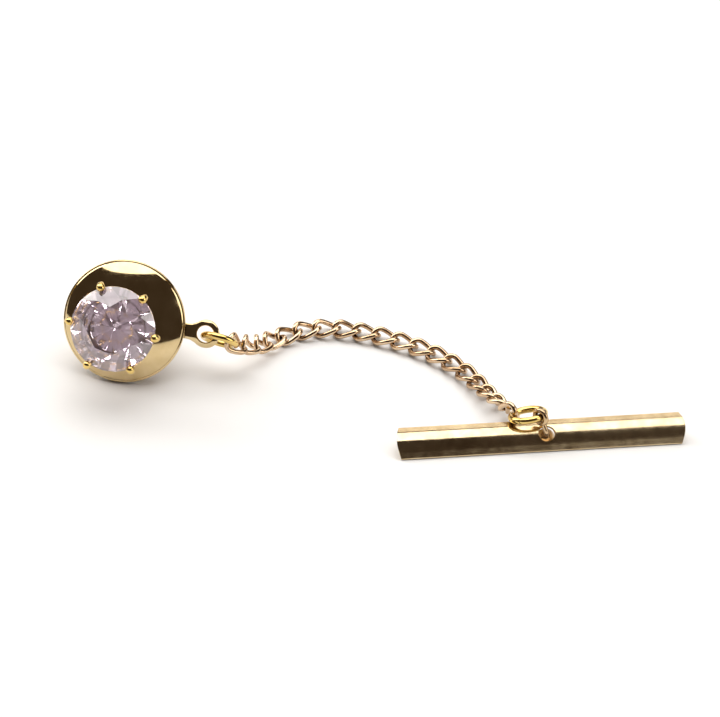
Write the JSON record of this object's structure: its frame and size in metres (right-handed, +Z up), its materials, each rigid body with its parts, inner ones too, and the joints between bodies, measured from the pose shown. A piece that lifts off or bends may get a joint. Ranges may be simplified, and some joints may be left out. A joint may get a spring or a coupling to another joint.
{
  "type": "tie tack",
  "caption": "Tie tack with a claw-set round stone on a pin post, a domed ball-lock clutch button, a curb chain and a rolled-sheet T-bar.",
  "frame": {"origin": "on the table, under the middle of the whole tie tack's box", "axes": "+X from the clutch button towards the T-bar, +Z up from the table it lies on"},
  "size_m": [0.0474, 0.017, 0.0097],
  "materials": {
    "polished_gold": "mirror polish",
    "satin_gold": "satin",
    "bright_gold": "polished",
    "pale_gold": "polished",
    "aged_gold": "satin, a little worn",
    "steel": "bright",
    "stone": "cut and polished"
  },
  "bodies": {
    "clutch": {"clutch_dome": "polished_gold", "ear_plate": "polished_gold", "rear_shell": "satin_gold", "lock_spring": "steel"},
    "lock_race": {"lock_cone": "steel"},
    "tack": {"stone": "stone", "claw_setting": "bright_gold", "pin_post": "bright_gold"},
    "pull_knob": {"pull_knob": "satin_gold", "ball_cage": "steel", "lock_ball_1": "steel", "lock_ball_2": "steel", "lock_ball_3": "steel"},
    "ring_clutch": {"jump_ring_clutch": "bright_gold"},
    "link_01": {"chain_link_01": "pale_gold"},
    "link_02": {"chain_link_02": "pale_gold"},
    "link_03": {"chain_link_03": "pale_gold"},
    "link_04": {"chain_link_04": "pale_gold"},
    "link_05": {"chain_link_05": "pale_gold"},
    "link_06": {"chain_link_06": "pale_gold"},
    "link_07": {"chain_link_07": "pale_gold"},
    "link_08": {"chain_link_08": "pale_gold"},
    "link_09": {"chain_link_09": "pale_gold"},
    "link_10": {"chain_link_10": "pale_gold"},
    "link_11": {"chain_link_11": "pale_gold"},
    "link_12": {"chain_link_12": "pale_gold"},
    "link_13": {"chain_link_13": "pale_gold"},
    "link_14": {"chain_link_14": "pale_gold"},
    "link_15": {"chain_link_15": "pale_gold"},
    "link_16": {"chain_link_16": "pale_gold"},
    "link_17": {"chain_link_17": "pale_gold"},
    "link_18": {"chain_link_18": "pale_gold"},
    "link_19": {"chain_link_19": "pale_gold"},
    "ring_bar": {"jump_ring_bar": "bright_gold"},
    "eye_pin": {"eye_pin": "satin_gold"},
    "bar": {"t_bar": "aged_gold"}
  },
  "joints": [
    {"name": "race_spin", "type": "hinge", "parent": "clutch", "child": "lock_race", "pos_m": [-0.01903, 0.00309, 0.00429], "axis": [-0.1801, -0.8471, 0.5], "continuous": true},
    {"name": "tack_slide", "type": "slide", "parent": "lock_race", "child": "tack", "axis": [-0.1801, -0.8471, 0.5], "range_m": [0, 0.012]},
    {"name": "knob_pull", "type": "slide", "parent": "clutch", "child": "pull_knob", "axis": [0.1801, 0.8471, -0.5], "range_m": [0, 0.00035], "stiffness_N_per_m": 400, "springref_m": -0.001, "deforming": ["lock_spring"]},
    {"name": "ring_on_ear", "type": "hinge", "parent": "clutch", "child": "ring_clutch", "pos_m": [-0.01279, 0.00207, 0.00381], "axis": [-0.1801, -0.8471, 0.5], "range_deg": [-60, 60]},
    {"name": "link_01", "type": "hinge", "parent": "ring_clutch", "child": "link_01", "pos_m": [-0.01051, 0.00195, 0.00282], "axis": [0.7139, -0.3395, 0.6124], "range_deg": [-20, 9]},
    {"name": "link_02", "type": "hinge", "parent": "link_01", "child": "link_02", "pos_m": [-0.00995, 0.00253, 0.00217], "axis": [-0.402, 0.7639, 0.5048], "range_deg": [-17, 19]},
    {"name": "link_03", "type": "hinge", "parent": "link_02", "child": "link_03", "pos_m": [-0.009, 0.00354, 0.00141], "axis": [-0.5473, 0.0129, -0.8369], "range_deg": [-8, 19]},
    {"name": "link_04", "type": "hinge", "parent": "link_03", "child": "link_04", "pos_m": [-0.00807, 0.00467, 0.00082], "axis": [0.6253, -0.7329, -0.2681], "range_deg": [-20, 11]},
    {"name": "link_05", "type": "hinge", "parent": "link_04", "child": "link_05", "pos_m": [-0.00693, 0.00573, 0.00057], "axis": [0.0507, -0.0914, 0.9945], "range_deg": [0, 20]},
    {"name": "link_06", "type": "hinge", "parent": "link_05", "child": "link_06", "pos_m": [-0.00555, 0.0065, 0.00057], "axis": [-0.2577, 0.9616, 0.0941], "range_deg": [-11, 16]},
    {"name": "link_07", "type": "hinge", "parent": "link_06", "child": "link_07", "pos_m": [-0.00402, 0.00691, 0.00057], "axis": [-0.0015, 0.0837, -0.9965], "range_deg": [-20, 5]},
    {"name": "link_08", "type": "hinge", "parent": "link_07", "child": "link_08", "pos_m": [-0.00244, 0.00693, 0.00057], "axis": [-0.2243, -0.9718, -0.0732], "range_deg": [-16, 11]},
    {"name": "link_09", "type": "hinge", "parent": "link_08", "child": "link_09", "pos_m": [-0.0009, 0.00658, 0.00057], "axis": [-0.0194, -0.0597, 0.998], "range_deg": [-15, 20]},
    {"name": "link_10", "type": "hinge", "parent": "link_09", "child": "link_10", "pos_m": [0.0006, 0.00609, 0.00057], "axis": [0.3902, 0.9192, 0.0523], "range_deg": [-20, 20]},
    {"name": "link_11", "type": "hinge", "parent": "link_10", "child": "link_11", "pos_m": [0.00205, 0.00547, 0.00057], "axis": [0.0197, 0.037, -0.9991], "range_deg": [-20, 15]},
    {"name": "link_12", "type": "hinge", "parent": "link_11", "child": "link_12", "pos_m": [0.00345, 0.00473, 0.00057], "axis": [-0.5444, -0.8383, -0.0314], "range_deg": [-20, 20]},
    {"name": "link_13", "type": "hinge", "parent": "link_12", "child": "link_13", "pos_m": [0.00478, 0.00387, 0.00057], "axis": [-0.0135, -0.016, 0.9998], "range_deg": [-13, 20]},
    {"name": "link_14", "type": "hinge", "parent": "link_13", "child": "link_14", "pos_m": [0.00598, 0.00285, 0.00057], "axis": [0.7372, 0.6756, 0.0105], "range_deg": [-20, 20]},
    {"name": "link_15", "type": "hinge", "parent": "link_14", "child": "link_15", "pos_m": [0.00705, 0.00168, 0.00057], "axis": [0, 0, -1], "range_deg": [-20, 13]},
    {"name": "link_16", "type": "hinge", "parent": "link_15", "child": "link_16", "pos_m": [0.00796, 0.00039, 0.00057], "axis": [-0.8692, -0.4544, 0.195], "range_deg": [-19, 18]},
    {"name": "link_17", "type": "hinge", "parent": "link_16", "child": "link_17", "pos_m": [0.0087, -0.001, 0.00063], "axis": [0.2825, 0.2838, 0.9163], "range_deg": [-11, 16]},
    {"name": "link_18", "type": "hinge", "parent": "link_17", "child": "link_18", "pos_m": [0.00944, -0.00238, 0.00083], "axis": [0.7913, 0.2828, -0.542], "range_deg": [-20, 20]},
    {"name": "link_19", "type": "hinge", "parent": "link_18", "child": "link_19", "pos_m": [0.01016, -0.00374, 0.00117], "axis": [-0.5218, -0.5249, -0.6725], "range_deg": [-18, 9]},
    {"name": "ring_on_chain", "type": "hinge", "parent": "link_19", "child": "ring_bar", "pos_m": [0.01073, -0.00471, 0.00147], "axis": [-0.6997, -0.7025, 0.1299], "range_deg": [-3, 25]},
    {"name": "eye_on_ring", "type": "hinge", "parent": "ring_bar", "child": "eye_pin", "pos_m": [0.01251, -0.00631, 0.00239], "axis": [0.6997, 0.7025, -0.1299], "range_deg": [-40, 1]},
    {"name": "bar_swivel", "type": "hinge", "parent": "eye_pin", "child": "bar", "pos_m": [0.01302, -0.00683, 0.00123], "axis": [0.0475, -0.5426, 0.8387], "range_deg": [-1, 40]}
  ]
}
